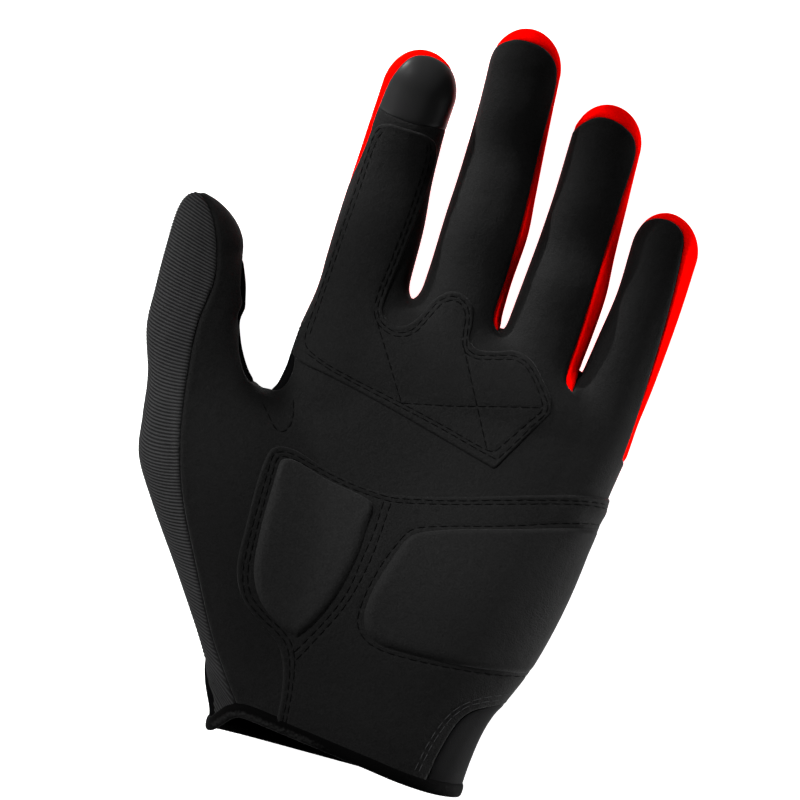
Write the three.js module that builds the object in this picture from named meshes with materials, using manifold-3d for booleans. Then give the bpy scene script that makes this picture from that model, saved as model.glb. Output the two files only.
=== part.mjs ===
// Off-road motorcycle glove for the left hand, built as a hollow sewn shell.
// Units are millimetres. The glove lies on its back: +Z is out of the palm, +Y runs to the fingertips
// and the thumb is on the -X side. The origin is on the flat of the back, under the middle of the palm.
import * as THREE from "three";
import { mergeVertices } from "three/addons/utils/BufferGeometryUtils.js";
import Module from "manifold-3d";

const wasm = await Module();
wasm.setup();

// Driving dimensions
const WALL = 1.6; // fabric and leather of the main shell
const GAP = 0.3; // clearance left between two sewn pieces
const OVERLAY_TOP = 1.3; // outer face of the stitched-on leather overlays, above the shell
const PAD_EDGE = 2; // foam pads in the heel of the hand: height of the edge
const PAD_TOP = 3.2; // and of the crown
const PAD_BEVEL = 2.2; // how far the pad's shoulder runs in from its edge
const SEAM_HEIGHT = 9; // where palm leather and back fabric meet along the sides
const OVERLAY_LOW = 11; // how far down the side an overlay or pad wraps
const CUFF_SPLIT = 14; // height where the palm half of the cuff edge meets the back half
const BINDING_OUT = 0.9; // how far the cuff binding stands proud outside
const BINDING_IN = 0.6; // and inside
const BINDING_BACK_Y = [-57.6, -62]; // top and bottom edge of the binding behind the wrist
const SIDES = { digit: 12, hand: 26 };
const OUTLINE_STEP = 6; // spacing of the points on a curved outline
const STEP = 15; // longest stretch between two sections of a loft
const CAP_STATIONS = [0.45, 0.75, 0.93]; // share of a rounded end at each of its sections
const BELOW = -1; // a cutting prism starts under the glove
const TALL = 60; // and ends well above it

// Each row is one section across X: its place along Y, its left and right edge, its lowest and highest point.
const HAND = {
  power: 2.7,
  rows: [
    { y: -68, left: -34.6, right: 43.4, low: -1, high: 31 },
    { y: -50, left: -37.2, right: 44.0, low: -2, high: 29.5 },
    { y: -38, left: -42.0, right: 46.6, low: -2, high: 28.5 },
    { y: -20, left: -48.0, right: 53.6, low: -2, high: 29 },
    { y: 0, left: -50.0, right: 58.8, low: -2, high: 29.5 },
    { y: 20, left: -48.0, right: 61.8, low: -2, high: 29 },
    { y: 38, left: -44.0, right: 63.4, low: -2, high: 27.5 },
    { y: 50, left: -41.0, right: 64.2, low: -2, high: 25.5 },
  ],
  cap: { reach: 27, skew: -11 },
};
const DIGITS = {
  thumb: {
    power: 2.2,
    rows: [
      { y: -42, left: -40.2, right: -8, low: 1, high: 26 },
      { y: -20, left: -55.0, right: -12, low: 0.5, high: 29 },
      { y: 0, left: -68.8, right: -18, low: 1, high: 31 },
      { y: 12, left: -75.2, right: -26, low: 1.5, high: 31.5 },
      { y: 24, left: -77.6, right: -35, low: 2, high: 31 },
      { y: 36, left: -79.6, right: -43, low: 3, high: 30 },
      { y: 50, left: -83.2, right: -52.6, low: 4, high: 28.5 },
      { y: 62, left: -84.2, right: -56.4, low: 4.5, high: 27 },
      { y: 80, left: -84.6, right: -62.2, low: 6, high: 26 },
    ],
    cap: { reach: 12.7, skew: -5 },
  },
  index: {
    power: 2.2,
    rows: [
      { y: 46, left: -39.0, right: -12, low: -0.5, high: 24 },
      { y: 70, left: -37.6, right: -10.8, low: -0.5, high: 20.6 },
      { y: 85, left: -37.1, right: -11.1, low: -0.5, high: 19.8 },
      { y: 100, left: -36.6, right: -11.6, low: -0.5, high: 20 },
      { y: 114, left: -35.8, right: -12.9, low: 0, high: 18.8 },
      { y: 128, left: -35.1, right: -13.1, low: 1, high: 19.6 },
      { y: 139, left: -34.1, right: -12.7, low: 2.5, high: 20.4 },
    ],
    cap: { reach: 12.5, skew: 0 },
  },
  middle: {
    power: 2.2,
    rows: [
      { y: 46, left: -8.2, right: 19.2, low: -0.5, high: 24.5 },
      { y: 74, left: -7.4, right: 18.5, low: -0.5, high: 20.8 },
      { y: 90, left: -6.5, right: 18.5, low: -0.5, high: 19.8 },
      { y: 106, left: -6.0, right: 19.5, low: -0.5, high: 20.2 },
      { y: 122, left: -5.3, right: 18.0, low: 0, high: 18.8 },
      { y: 138, left: -5.0, right: 17.2, low: 1, high: 19.6 },
      { y: 154, left: -5.0, right: 16.2, low: 3, high: 21 },
    ],
    cap: { reach: 12.1, skew: 0 },
  },
  ring: {
    power: 2.2,
    rows: [
      { y: 40, left: 17.0, right: 43.5, low: -0.5, high: 24.5 },
      { y: 68, left: 19.6, right: 45.0, low: -0.5, high: 20.6 },
      { y: 82, left: 20.8, right: 46.0, low: -0.5, high: 19.8 },
      { y: 98, left: 22.2, right: 46.7, low: -0.5, high: 20 },
      { y: 112, left: 23.4, right: 45.6, low: 0, high: 18.6 },
      { y: 128, left: 24.2, right: 46.0, low: 1, high: 19.4 },
      { y: 139, left: 24.6, right: 45.3, low: 2.5, high: 20.4 },
    ],
    cap: { reach: 11.4, skew: 0 },
  },
  little: {
    power: 2.2,
    rows: [
      { y: 30, left: 41.0, right: 62.8, low: -0.5, high: 24 },
      { y: 55, left: 43.4, right: 65.6, low: -0.5, high: 20.4 },
      { y: 68, left: 45.4, right: 67.2, low: -0.5, high: 18.8 },
      { y: 82, left: 47.6, right: 68.6, low: -0.5, high: 18.2 },
      { y: 97, left: 49.7, right: 69.7, low: 0, high: 18 },
      { y: 112, left: 50.7, right: 70.2, low: 1.5, high: 18.6 },
    ],
    cap: { reach: 11.4, skew: 0 },
  },
};

// Gentle mounds and hollows of the palm: centre, reach and height of each.
const RELIEF = [
  { name: "palm hollow", x: 4, y: 30, reach: 27, height: -3.2 },
  { name: "thumb mound", x: -36, y: 0, reach: 30, height: 1.6 },
  { name: "heel mound", x: 36, y: -6, reach: 30, height: 2.2 },
  { name: "knuckle pads", x: 14, y: 62, reach: 22, height: 1.2 },
];

// Plan outlines. Each is a list of stretches: smooth within a stretch, with a corner between two.
const RIB_SEAM = [
  [-28, -51.5], [-33, -45], [-40, -35], [-50, -16], [-60, 5], [-65, 22], [-67.8, 42],
  [-68.5, 55], [-67.2, 69], [-70.5, 82], [-75, 89.7], [-79, 92.9],
];
const GUSSET_SEAM = [
  [54, -26.5], [50, -28.5], [44, -31.2], [39, -34.5], [36, -38.5], [33.5, -46], [31, -58],
];
// The cuff binding's two edges on the palm side, from the thumb side across.
const CUFF_PALM_TOP = [
  [-44, -57.6], [-39, -57.6], [-34.6, -57.3], [-31, -53.8], [-25, -51.6], [-10, -52.5], [10, -55.3],
  [28, -58.2], [36, -58.6], [50, -56.5],
];
const CUFF_PALM_BOTTOM = [
  [-44, -62], [-36, -61.2], [-29, -57.2], [-22, -56.2], [-10, -57.3], [10, -60], [28, -62.4], [36, -62.7],
  [50, -62],
];
const PALM = [
  RIB_SEAM,
  [[-79, 92.9], [-80, 98], [-40, 98]],
  [[-40, 98], [-37.2, 104], [-36, 108], [-35, 120], [-34.1, 131], [-32.2, 142], [-28, 149], [-22, 150.4],
    [-16.5, 148.6], [-12, 145]],
  [[-12, 145], [-8.5, 148], [-6, 154], [-4.2, 159.5], [0, 162.1], [5, 162.5], [10, 161.5], [14, 158.4],
    [15.6, 154], [16.3, 135], [17, 110], [16.8, 92], [16.2, 81], [16.9, 78], [18.6, 76.4]],
  [[18.6, 76.4], [19.5, 82], [20.9, 100], [21.4, 130], [23.2, 138], [26, 143.2], [30, 146.2], [34, 146.6],
    [39, 145.3], [42.7, 142.8], [44.3, 139], [43.9, 122], [43, 100], [42.3, 80], [41.8, 70], [42.4, 66.6],
    [44.6, 64.6]],
  [[44.6, 64.6], [45.6, 71], [48, 96], [48.9, 112], [51.2, 118.2], [54, 121.3], [58, 122.3], [62, 121.3],
    [64.6, 118.6], [65.7, 112], [66.4, 92], [65.6, 60], [64.7, 49]],
  [[64.7, 49], [70, 45]],
  [[70, 45], [70, -26.5], [54, -26.5]],
  GUSSET_SEAM,
  [[31, -58], [31, -72]],
  [[31, -72], [-28, -72]],
  [[-28, -72], [-28, -51.5]],
];
const TIP_CAP = [
  [[-36, 131.6], [-34, 131.4], [-31, 130.2], [-22, 129.2], [-14, 130.2], [-11, 131]],
  [[-11, 131], [-9.5, 156], [-40, 156]],
  [[-40, 156], [-36, 131.6]],
];
const PALM_OVERLAY = [
  [[-41, 56.5], [-37.9, 70], [-36.6, 90], [-35.6, 105], [-34.6, 115], [-33.8, 122.5], [-32.6, 126],
    [-29, 127.5]],
  [[-29, 127.5], [-18, 127]],
  [[-18, 127], [-14.8, 125.6], [-13.6, 122], [-13.8, 108], [-15.4, 90], [-16.8, 77], [-16.3, 72],
    [-12.5, 69.6], [-9, 70.2], [-6, 73.4], [-2.5, 80.3], [1.4, 83.8], [5.6, 83.8], [9, 81.2], [10.3, 76],
    [10.9, 71], [13.5, 69.2], [19, 69.9], [25, 71.7], [30, 70.4], [35, 65.4], [39, 60.2], [39.6, 56.6]],
  [[39.6, 56.6], [28, 36]],
  [[28, 36], [10, 40.8], [-10, 46], [-28, 50], [-41, 52.2]],
  [[-41, 52.2], [-41, 56.5]],
];
const HEEL_OVERLAY = [
  [[-15, -72], [-15.2, -48], [-17.4, -37], [-20.4, -31.4], [-28, -26], [-35, -19.6], [-38.2, -12],
    [-38.8, 0], [-38.7, 20], [-37.2, 24.9], [-32.5, 26], [-20, 22.8], [-8, 20.6], [2, 20.9], [20, 25.3],
    [40, 31.2], [57, 35.6], [72, 37]],
  [[72, 37], [72, -26.5], [54, -26.5]],
  GUSSET_SEAM,
  [[31, -58], [31, -72]],
  [[31, -72], [-15, -72]],
];
const THENAR_PAD = [
  [[-4.2, 17], [-3.7, 14], [-4.4, 0], [-7.4, -13], [-11.6, -22.5], [-15.4, -27.8]],
  [[-15.4, -27.8], [-20.4, -26.2], [-28.6, -20.4], [-33, -12.5], [-34.5, 0], [-34.5, 19]],
  [[-34.5, 19], [-34, 22], [-31, 22.9], [-20, 20.1], [-8, 18], [-4.2, 17]],
];
const HYPOTHENAR_PAD = [
  [[72, 27.5], [60, 26.4], [40, 20.9], [20, 15.2], [11, 11.6], [8.4, 9.4], [5, 1], [2.4, -8], [1.6, -15],
    [3.4, -20], [8.4, -23.2], [16, -23.7], [36, -22.7], [54, -20.2], [72, -18]],
  [[72, -18], [72, 27.5]],
];
const THUMB_ZONE = [
  [[-27, -72], [-31, -40], [-38, -10], [-43, 20], [-46, 42], [-50, 60]],
  [[-50, 60], [-50, 100], [-95, 100]],
  [[-95, 100], [-95, -72]],
  [[-95, -72], [-27, -72]],
];
// The line on the back where the red finger fabric starts, and a line up each gap between fingers.
const KNUCKLE_LINE = [[-46, 64], [10, 60], [75, 46]];
const FINGER_GAPS = [
  [[-50, 40], [-50, 175]],
  [[-10, 40], [-8.6, 175]],
  [[17.2, 40], [23.5, 175]],
  [[42.5, 40], [55, 175]],
  [[80, 40], [80, 175]],
];
const FAR_SIDE = [[-100, 180], [100, 180]]; // beyond the fingertips

// Smooth curve through a table's rows: the value of one column at y.
function along(rows, column, y) {
  const last = rows.length - 1;
  const clamped = Math.min(Math.max(y, rows[0].y), rows[last].y);
  const i = Math.min(Math.max(rows.findIndex((row) => row.y > clamped) - 1, 0), last - 1);
  const k = clamped >= rows[last].y ? last - 1 : i;
  const slope = (j) => {
    const a = rows[Math.max(j - 1, 0)];
    const b = rows[Math.min(j + 1, last)];
    return (b[column] - a[column]) / (b.y - a.y);
  };
  const span = rows[k + 1].y - rows[k].y;
  const t = (clamped - rows[k].y) / span;
  return (
    rows[k][column] * (2 * t ** 3 - 3 * t ** 2 + 1) +
    slope(k) * span * (t ** 3 - 2 * t ** 2 + t) +
    rows[k + 1][column] * (3 * t ** 2 - 2 * t ** 3) +
    slope(k + 1) * span * (t ** 3 - t ** 2)
  );
}

function relief(x, y) {
  return RELIEF.reduce((sum, m) => {
    const away = ((x - m.x) ** 2 + (y - m.y) ** 2) / m.reach ** 2;
    return sum + m.height * Math.exp(-away);
  }, 0);
}

// One section of a limb as a ring of points, grown outward by offset. A capShare over 0 is in its end.
function ring(limb, y, offset, sides, capShare = 0) {
  const shrink = Math.sqrt(1 - capShare ** 2);
  const left = along(limb.rows, "left", y);
  const right = along(limb.rows, "right", y);
  const low = along(limb.rows, "low", y);
  const high = along(limb.rows, "high", y);
  const centre = (left + right) / 2 + limb.cap.skew * capShare ** 2;
  const middle = (low + high) / 2;
  const halfWidth = ((right - left) / 2 + offset) * shrink;
  const halfHeight = ((high - low) / 2 + offset) * shrink;
  const floor = Math.max(0, -offset);
  const top = y + (limb.cap.reach + offset) * capShare;
  return Array.from({ length: sides }, (_, i) => {
    const angle = (2 * Math.PI * (i + 0.5)) / sides;
    const bend = (value) => Math.sign(value) * Math.abs(value) ** (2 / limb.power);
    const x = centre + halfWidth * bend(Math.cos(angle));
    const rise = bend(Math.sin(angle));
    const z = middle + halfHeight * rise + relief(x, top) * Math.max(rise, 0);
    return new THREE.Vector3(x, top, Math.max(z, floor));
  });
}

// Closed skin through rings of equal length, with a fan over each end.
function skin(rings, startPoint, endPoint) {
  const sides = rings[0].length;
  const points = [...rings.flat(), startPoint, endPoint];
  const index = [];
  for (let r = 0; r + 1 < rings.length; r++) {
    for (let i = 0; i < sides; i++) {
      const [a, b] = [r * sides + i, r * sides + ((i + 1) % sides)];
      index.push(a, b + sides, b, a, a + sides, b + sides);
    }
  }
  const top = (rings.length - 1) * sides;
  for (let i = 0; i < sides; i++) {
    const next = (i + 1) % sides;
    index.push(points.length - 2, i, next);
    index.push(points.length - 1, top + next, top + i);
  }
  return solid(new THREE.BufferGeometry().setFromPoints(points).setIndex(index));
}

function limbSolid(limb, offset, sides) {
  const first = limb.rows[0].y + Math.min(offset, 0);
  const last = limb.rows.at(-1).y;
  const count = Math.ceil((last - first) / STEP);
  const rings = [];
  for (let i = 0; i <= count; i++) {
    const y = first + ((last - first) * i) / count;
    rings.push(ring(limb, y, offset, sides));
  }
  for (const share of CAP_STATIONS) {
    rings.push(ring(limb, last, offset, sides, share));
  }
  const sum = (points) => points.reduce((total, point) => total.add(point), new THREE.Vector3());
  const middle = (points) => sum(points).divideScalar(points.length);
  const end = middle(rings.at(-1));
  end.y = last + limb.cap.reach + offset;
  return skin(rings, middle(rings[0]), end);
}

// The whole glove's outer form, grown outward by offset.
function form(offset) {
  const digits = Object.values(DIGITS).map((digit) => limbSolid(digit, offset, SIDES.digit));
  return digits.reduce((body, digit) => body.add(digit), limbSolid(HAND, offset, SIDES.hand));
}

function solid(geometry) {
  geometry.deleteAttribute("normal");
  geometry.deleteAttribute("uv");
  const merged = mergeVertices(geometry, 1e-4);
  const mesh = new wasm.Mesh({
    numProp: 3,
    vertProperties: merged.attributes.position.array,
    triVerts: new Uint32Array(merged.index.array),
  });
  return new wasm.Manifold(mesh);
}

function geometryOf(manifold) {
  const { vertProperties, triVerts } = manifold.getMesh();
  const geometry = new THREE.BufferGeometry();
  geometry.setAttribute("position", new THREE.BufferAttribute(vertProperties, 3));
  geometry.setIndex(new THREE.BufferAttribute(triVerts, 1));
  geometry.computeVertexNormals();
  return geometry;
}

// Evenly spaced points round a plan outline, counter-clockwise.
function outlinePoints(stretches) {
  const points = stretches.flatMap((stretch) => {
    const knots = stretch.map(([x, y]) => new THREE.Vector3(x, y, 0));
    if (knots.length === 2) return [knots[0]];
    const curve = new THREE.CatmullRomCurve3(knots, false, "centripetal");
    const steps = Math.ceil(curve.getLength() / OUTLINE_STEP);
    return curve.getSpacedPoints(steps).slice(0, -1);
  });
  const flat = points.map((p) => new THREE.Vector2(p.x, p.y));
  return THREE.ShapeUtils.isClockWise(flat) ? flat.reverse() : flat;
}

// The outline moved outward by grow, or inward where that is negative.
function grown(points, grow) {
  return points.map((point, i) => {
    const before = point.clone().sub(points.at(i - 1)).normalize();
    const after = points[(i + 1) % points.length].clone().sub(point).normalize();
    const normal = new THREE.Vector2(before.y + after.y, -before.x - after.x).normalize();
    const miter = Math.max(normal.dot(new THREE.Vector2(after.y, -after.x)), 0.5);
    return point.clone().addScaledVector(normal, grow / miter);
  });
}

// Upright block over a plan outline, from a height upward.
function prism(stretches, grow = 0, from = BELOW, height = TALL) {
  const shape = new THREE.Shape(grown(outlinePoints(stretches), grow));
  const geometry = new THREE.ExtrudeGeometry(shape, { depth: height, bevelEnabled: false });
  return solid(geometry.translate(0, 0, from));
}

// Plan region between two lines that run the same way.
function between(line, other) {
  return [line, [line.at(-1), other.at(-1)], [...other].reverse(), [other[0], line[0]]];
}

const half = GAP / 2;
const shell = form(0).subtract(form(-WALL));
const overlayLayer = form(OVERLAY_TOP).subtract(form(GAP));

// Above the cuff binding, and the binding's own band, each in front of and behind the wrist.
const backTop = [[-60, BINDING_BACK_Y[0]], [60, BINDING_BACK_Y[0]]];
const backBottom = [[-60, BINDING_BACK_Y[1]], [60, BINDING_BACK_Y[1]]];
const inFront = (lines) => prism(lines, -half, CUFF_SPLIT);
const behind = (lines) => prism(lines, -half, BELOW, CUFF_SPLIT - BELOW);
const sleeve = inFront(between(CUFF_PALM_TOP, FAR_SIDE)).add(behind(between(backTop, FAR_SIDE)));
const bandInFront = inFront(between(CUFF_PALM_TOP, CUFF_PALM_BOTTOM));
const cuffBand = bandInFront.add(behind(between(backTop, backBottom)));

// The palm leather and the wrist gusset reach down to the side seam. The back fabric is what they leave.
const GUSSET = [
  GUSSET_SEAM,
  [[31, -58], [31, -72]],
  [[31, -72], [70, -72]],
  [[70, -72], [70, -26.5]],
  [[70, -26.5], [54, -26.5]],
];
const palmBlock = (grow) => prism(PALM, grow, SEAM_HEIGHT - grow);
const gussetBlock = (grow) => prism(GUSSET, grow, SEAM_HEIGHT - grow);
const cover = shell.intersect(sleeve);
const back = cover.subtract(palmBlock(half)).subtract(gussetBlock(half));
const beyondKnuckles = (grow) => prism(between(KNUCKLE_LINE, FAR_SIDE), grow);
const overFront = (outline, grow = 0) => prism(outline, grow, OVERLAY_LOW);

// A foam pad: a low wall all round, and a crown further in.
function pad(outline) {
  const step = (top, inset) => form(top).intersect(overFront(outline, -half - inset));
  return step(PAD_EDGE, 0).add(step(PAD_TOP, PAD_BEVEL)).subtract(form(GAP));
}

function fingerBack(i) {
  const strip = prism(between(FINGER_GAPS[i], FINGER_GAPS[i + 1]), -half);
  return back.intersect(strip).intersect(beyondKnuckles(-half));
}

const LOOKS = {
  leather: { color: 0x1c1c1c, roughness: 0.65 },
  gloss: { color: 0x161616, roughness: 0.4 },
  rib: { color: 0x262626, roughness: 0.85 },
  red: { color: 0xd90a05, roughness: 0.8 },
  stretch: { color: 0x101010, roughness: 0.85 },
  binding: { color: 0x080808, roughness: 0.6 },
};
const glove = new THREE.Group();

// Adds a named piece: the largest body of the cut, without any crumb that the cut left.
function addPiece(name, cut, look) {
  const bodies = cut.decompose().sort((a, b) => b.volume() - a.volume());
  const mesh = new THREE.Mesh(geometryOf(bodies[0]), new THREE.MeshStandardMaterial(LOOKS[look]));
  mesh.name = name;
  glove.add(mesh);
}

const front = cover.intersect(palmBlock(-half));
addPiece("palm", front.subtract(prism(TIP_CAP, half)), "leather");
addPiece("index_tip", front.intersect(prism(TIP_CAP, -half)), "gloss");
addPiece("wrist_gusset", cover.intersect(gussetBlock(-half)), "stretch");
addPiece("thumb_back", back.intersect(prism(THUMB_ZONE, -half)), "rib");
addPiece("hand_back", back.subtract(prism(THUMB_ZONE, half)).subtract(beyondKnuckles(half)), "stretch");
["index_back", "middle_back", "ring_back", "little_back"].forEach((name, i) => {
  addPiece(name, fingerBack(i), "red");
});
addPiece("palm_overlay", overlayLayer.intersect(overFront(PALM_OVERLAY)), "leather");
const padHoles = overFront(THENAR_PAD, half).add(overFront(HYPOTHENAR_PAD, half));
const heel = overlayLayer.intersect(sleeve).intersect(overFront(HEEL_OVERLAY, -half));
addPiece("heel_overlay", heel.subtract(padHoles), "leather");
addPiece("thenar_pad", pad(THENAR_PAD), "leather");
addPiece("hypothenar_pad", pad(HYPOTHENAR_PAD), "leather");
const bindingLayer = form(BINDING_OUT).subtract(form(-WALL - BINDING_IN));
addPiece("cuff_binding", bindingLayer.intersect(cuffBand), "binding");

export default glove;
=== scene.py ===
import math
from collections import namedtuple

import bpy
import numpy as np
from mathutils import Matrix, Vector
from mathutils.bvhtree import BVHTree
from mathutils.kdtree import KDTree


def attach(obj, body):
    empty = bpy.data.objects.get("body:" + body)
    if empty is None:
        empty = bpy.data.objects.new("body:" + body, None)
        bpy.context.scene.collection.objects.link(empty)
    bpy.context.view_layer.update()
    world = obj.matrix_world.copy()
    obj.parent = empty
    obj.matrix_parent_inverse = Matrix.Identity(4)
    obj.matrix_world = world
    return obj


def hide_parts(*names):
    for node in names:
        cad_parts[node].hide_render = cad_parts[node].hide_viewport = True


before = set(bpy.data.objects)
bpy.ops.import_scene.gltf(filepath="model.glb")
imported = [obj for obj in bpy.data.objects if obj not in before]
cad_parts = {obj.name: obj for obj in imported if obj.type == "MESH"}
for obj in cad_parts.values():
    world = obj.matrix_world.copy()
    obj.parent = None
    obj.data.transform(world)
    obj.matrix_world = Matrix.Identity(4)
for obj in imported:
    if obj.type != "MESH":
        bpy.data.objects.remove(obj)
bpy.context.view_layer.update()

MM = 0.001
GRID = 1.0  # spacing of the grid that the glove's skin is found on
GRID_LOW, GRID_HIGH = (-90, -72, -3), (76, 171, 39)
INSIDE_GRID = 2.0
FINE = 0.63  # an edge near a seam or a stitch line is split where it is longer
FAR = 12.0  # distances to a seam or a stitch line are told apart up to here
LINE_END, LINE_SIDE = 250, 300  # how far a parting line and its left side go on past the glove
WALL = 1.6
SEAM_HEIGHT = 9.0  # where palm leather and back fabric meet along the sides
OVERLAY_LOW = 11.0  # lowest height of the stitched-on layers at the side of the hand
PAD_LOW = 12.5
OVERLAY_RISE = 0.5
PAD_RISE = 1.45
PAD_SINK = 0.12  # how far a pad's edge starts under the layer round it
SOFT_SHOULDER = 4.0
SHARP_SHOULDER = 1.5
HEM = 0.9  # how far a panel's edge is folded in
SEAM_DEPTH = 0.55
FLUSH_DEPTH = 0.14  # groove between two panels that lie level
CHANNEL_DEPTH = 0.15  # groove that a row of stitches is pulled into
FULLNESS = 0.12  # how far a panel swells beside its seam
LIP = 0.7  # width of a layer's rounded edge
SEAM_REACH = 2.2  # width of the finer mesh along a panel's border
PAD_REACH = 5.0  # the same on a pad, for its rounded shoulder
STITCH_REACH = 1.1  # the same beside a stitch line
HIDDEN_BELOW = -53  # the cuff's binding hides a panel's border below this place along Y
RIB_PITCH = 1.0
RIB_DEPTH = 0.3

# A limb: how square its section is, how far its tip reaches past the last row and leans to the side,
# and its rows: place along Y, left and right edge, lowest and highest point.
Limb = namedtuple("Limb", "power reach skew rows")
HAND = Limb(2.7, 28.3, -18, [
    (-68, -34, 43.4, -1, 31),
    (-50, -36.1, 44.4, -2, 29.5),
    (-38, -40.7, 46.6, -2, 28.5),
    (-20, -48, 53.9, -2, 29),
    (0, -50, 58.9, -2, 29.5),
    (20, -48, 61.6, -2, 29),
    (38, -41.2, 62.5, -2, 27.5),
    (50, -39.8, 63.5, -2, 25.5),
])
THUMB = Limb(2.2, 14.9, -5, [
    (-42, -39.2, -8, 1, 26),
    (-20, -54.2, -12, 0.5, 29),
    (0, -68.6, -18, 1, 31),
    (12, -75.8, -26, 1.5, 31.5),
    (24, -77.9, -35, 2, 31),
    (36, -79.6, -45.2, 3, 30),
    (50, -83.8, -52.9, 4, 28.5),
    (62, -84.4, -56.4, 4.5, 27),
    (70, -84.6, -58.4, 5, 26.6),
    (78, -84.6, -61.7, 5.8, 26),
])
FINGERS = {
    "index": Limb(2.2, 13.1, -0.5, [
        (46, -39.4, -12, -0.5, 24),
        (70, -37.3, -10.8, -0.5, 20.6),
        (85, -37.3, -11.1, -0.5, 19.8),
        (100, -36.9, -11.3, -0.5, 20),
        (114, -36.2, -12.5, 0, 18.8),
        (128, -35.5, -12.8, 1, 20),
        (139, -34.9, -12.2, 2.5, 19.8),
    ]),
    "middle": Limb(2.2, 12.6, -0.5, [
        (46, -8.2, 19.2, -0.5, 24.5),
        (74, -7.4, 18.5, -0.5, 20.8),
        (90, -6.5, 18.5, -0.5, 19.4),
        (106, -6, 19.5, -0.5, 20.6),
        (118, -5.4, 18.7, 0, 19.6),
        (129, -5.15, 17.9, 0.5, 18.2),
        (142, -5.05, 17, 1, 20.4),
        (154, -5.4, 16.3, 2.6, 19.8),
    ]),
    "ring": Limb(2.2, 12, -0.4, [
        (40, 17, 43.5, -0.5, 24.5),
        (68, 19.6, 44.8, -0.5, 20.6),
        (82, 20.8, 46.2, -0.5, 19.8),
        (95, 22, 47, -0.5, 20.5),
        (107, 23, 46.4, 0, 18.2),
        (121, 23.9, 46, 0.5, 20),
        (139, 24.3, 45.5, 2.5, 19.2),
    ]),
    "little": Limb(2.2, 12.2, -0.8, [
        (30, 41, 61.2, -0.5, 24),
        (55, 43.6, 65.6, -0.5, 20.4),
        (68, 45.7, 67.5, -0.5, 18.8),
        (82, 47.8, 68.9, -0.5, 18.2),
        (97, 49.9, 70, 0, 18.4),
        (112, 50.3, 70.6, 1.5, 17.9),
    ]),
}
ROOT_FADE = 16.0  # how far a digit reaches back into the hand
FINGER_BLEND = 3.0
THUMB_BLEND = 3.0
CROTCH = (-42, 26, 30, 16)  # x, y, reach and extra blend where thumb and palm run together
# Gap between thumb and index finger: its lowest point, how fast it opens, its right side, its top.
GAP = (-45, 41.7, 0.125, -42.5, 60)
GAP_BLEND = 4.0
GAP_SIDE_BLEND = 2.0
GAP_TOP_BLEND = 4.0
FLOOR_BLEND = 1.5
# Mounds and hollows of the palm: x, y, reach, height.
RELIEF = [(4, 30, 27, -3.2), (-36, 0, 30, 1.6), (36, -6, 30, 2.2), (14, 62, 22, 1.2)]
RELIEF_FROM, RELIEF_TO = 4, 24  # heights between which they grow in


# Form of the glove

def smooth(t):
    t = np.clip(t, 0, 1)
    return t * t * (3 - 2 * t)


def ramp(value, start, end):
    """0 up to start, 1 from end on, and smooth between them."""
    return smooth((value - start) / (end - start))


def hill(value, place, width):
    """1 at a place and 0 well away from it on either side."""
    return np.exp(-(((value - place) / width) ** 2))


def smooth_min(a, b, reach):
    near = np.maximum(reach - np.abs(a - b), 0) / reach
    return np.minimum(a, b) - near * near * reach / 4


def smooth_max(a, b, reach):
    return -smooth_min(-a, -b, reach)


def along(rows, y):
    """Smooth curve through a limb's rows: its left, right, low and high at each y."""
    table = np.array(rows, float)
    knots, values = table[:, 0], table[:, 1:]
    before = np.maximum(np.arange(len(knots)) - 1, 0)
    after = np.minimum(np.arange(len(knots)) + 1, len(knots) - 1)
    slope = (values[after] - values[before]) / (knots[after] - knots[before])[:, None]
    y = np.clip(y, knots[0], knots[-1])
    k = np.clip(np.searchsorted(knots, y, side="right") - 1, 0, len(knots) - 2)
    span = (knots[k + 1] - knots[k])[:, None]
    t = (y - knots[k])[:, None] / span
    start = values[k] * (2 * t**3 - 3 * t**2 + 1) + slope[k] * span * (t**3 - 2 * t**2 + t)
    end = values[k + 1] * (3 * t**2 - 2 * t**3) + slope[k + 1] * span * (t**3 - t**2)
    return (start + end).T


def limb(shape, x, y, z):
    """About the distance to a limb's surface, negative inside it."""
    left, right, low, high = along(shape.rows, y)
    first, last = shape.rows[0][0], shape.rows[-1][0]
    tip = np.maximum(y - last, 0) / shape.reach
    root = np.zeros_like(y) if shape is HAND else np.maximum(first - y, 0) / ROOT_FADE
    across = np.abs(x - (left + right) / 2 - shape.skew * np.minimum(tip, 1) ** 2)
    wide = (right - left) / 2
    deep = (high - low) / 2
    section = (across / wide) ** shape.power + (np.abs(z - (low + high) / 2) / deep) ** shape.power
    return (np.sqrt(section ** (2 / shape.power) + tip**2 + root**2) - 1) * np.minimum(wide, deep)


def relief(x, y):
    return sum(h * np.exp(-((x - cx) ** 2 + (y - cy) ** 2) / reach**2) for cx, cy, reach, h in RELIEF)


def thumb_gap(x, y):
    """Depth inside the gap between thumb and index finger, in plan."""
    middle, bottom, opening, right, top = GAP
    bowl = (y - bottom - opening * (x - middle) ** 2) / np.sqrt(1 + (2 * opening * (x - middle)) ** 2)
    return smooth_min(smooth_min(bowl, right - x, GAP_SIDE_BLEND), top - y, GAP_TOP_BLEND)


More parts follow.
